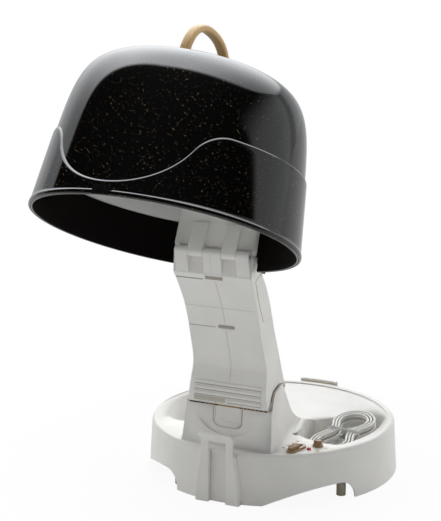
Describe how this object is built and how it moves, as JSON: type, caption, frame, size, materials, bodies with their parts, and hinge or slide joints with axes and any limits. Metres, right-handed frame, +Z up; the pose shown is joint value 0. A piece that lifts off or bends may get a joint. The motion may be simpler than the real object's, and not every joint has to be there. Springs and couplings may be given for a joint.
{
  "type": "hood hair dryer",
  "caption": "Tabletop hood hair dryer: round base with blower and cord pocket, hollow folding air arm, and a tilting dome hood with a perforated air ceiling and a carrying handle",
  "frame": {"origin": "Centre of the round base on the table", "axes": "+X to the side with the controls and the cord pocket, +Y to the back, away from the sitter and the raised hood, +Z up"},
  "size_m": [0.33, 0.6081, 0.5945],
  "materials": {
    "ivory_body": "glossy moulded plastic, warm off-white",
    "ivory_trim": "satin moulded plastic, warm off-white",
    "pan_plastic": "matte moulded plastic",
    "foot_rubber": "matte brown-grey rubber",
    "bright_steel": "plated steel",
    "motor_steel": "zinc-plated can",
    "fan_plastic": "moulded dark plastic",
    "mica": "pressed mica board",
    "dark_plastic": "black moulded plastic",
    "bronze_plastic": "bronze-brown moulded plastic",
    "red_lens": "clear red plastic",
    "speckled_black": "glossy black with fine gold flecks",
    "ceiling_plastic": "satin off-white plastic",
    "tan_plastic": "satin tan plastic",
    "cord_cover": "matte ivory PVC",
    "tie_plastic": "paper-covered wire"
  },
  "bodies": {
    "base": {"base_shell": "ivory_body", "base_pan": "pan_plastic", "rubber_feet": "foot_rubber", "front_catch": "ivory_body", "rear_rest": "ivory_body", "latch_spring": "bright_steel", "scroll_housing": "pan_plastic", "scroll_lid": "pan_plastic", "air_duct": "pan_plastic", "motor": "motor_steel", "motor_bracket": "pan_plastic", "heater_frame": "mica", "heater_coils": "bright_steel", "thermostat": "dark_plastic", "switch_bezel": "bronze_plastic", "switch_body": "dark_plastic", "mode_switch": "dark_plastic", "indicator_lens": "red_lens", "base_screws": "bright_steel", "fold_pin": "bright_steel", "cord_grommet": "cord_cover", "cord_lead": "cord_cover", "cord_hank": "cord_cover", "cord_end": "cord_cover", "cord_tie": "tie_plastic", "cord_plug": "cord_cover"},
    "latch": {"latch_button": "ivory_trim"},
    "slider": {"slide_knob": "bronze_plastic"},
    "knob": {"mode_knob": "bronze_plastic"},
    "fan": {"impeller": "fan_plastic"},
    "arm": {"arm_left": "ivory_body", "arm_right": "ivory_body", "arm_back_cover": "ivory_body", "neck_pin": "bright_steel"},
    "release": {"hood_release": "ivory_trim"},
    "hood": {"neck_duct": "ivory_body", "neck_cover": "dark_plastic", "dome_shell": "speckled_black", "hood_band": "speckled_black", "hood_clip": "dark_plastic", "air_ceiling": "ceiling_plastic", "handle": "tan_plastic", "hood_screws": "bright_steel"}
  },
  "joints": [
    {"name": "arm_fold", "type": "hinge", "parent": "base", "child": "arm", "pos_m": [0, -0.08553, 0.137], "axis": [-1, 0, 0], "range_deg": [0, 133.45]},
    {"name": "hood_fold", "type": "hinge", "parent": "arm", "child": "hood", "pos_m": [0, -0.183, 0.322], "axis": [1, 0, 0], "range_deg": [0, 159.66]},
    {"name": "impeller_spin", "type": "hinge", "parent": "base", "child": "fan", "pos_m": [0, 0.078, 0.04], "axis": [0, 0, 1], "continuous": true},
    {"name": "latch_press", "type": "slide", "parent": "base", "child": "latch", "axis": [0, 1, 0], "range_m": [0, 0.003], "stiffness_N_per_m": 400},
    {"name": "slide_switch", "type": "slide", "parent": "base", "child": "slider", "axis": [0.1908, 0.9816, 0], "range_m": [0, 0.01]},
    {"name": "mode_turn", "type": "hinge", "parent": "base", "child": "knob", "pos_m": [0.103, -0.092, 0.066], "axis": [0, 0, 1], "range_deg": [0, 55]},
    {"name": "release_slide", "type": "slide", "parent": "arm", "child": "release", "axis": [0, 0.3987, -0.9171], "range_m": [0, 0.005]}
  ],
  "couplings": [
    {"joint": "hood_fold", "follows": "arm_fold", "ratio": 1.1963}
  ]
}
